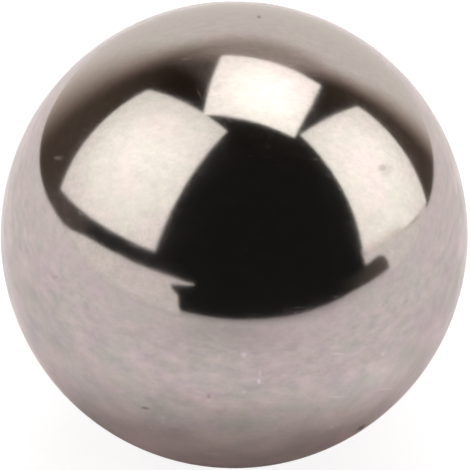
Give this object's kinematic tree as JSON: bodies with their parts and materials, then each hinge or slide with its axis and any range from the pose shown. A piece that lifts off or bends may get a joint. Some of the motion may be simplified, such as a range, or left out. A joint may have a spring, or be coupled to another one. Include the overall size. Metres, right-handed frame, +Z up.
{
  "type": "steel ball",
  "caption": "Solid polished steel ball: a true sphere with a mirror finish, for bearings, valves, detents and bench use.",
  "frame": {"origin": "the ball's centre", "axes": "+Z up, away from the seat that the ball rests in; a sphere is the same along every axis"},
  "size_m": [0.0126, 0.0126, 0.0126],
  "materials": {
    "polished_steel": "lapped and polished to a mirror, with fine handling marks"
  },
  "bodies": {
    "root": {"ball": "polished_steel"}
  },
  "joints": []
}
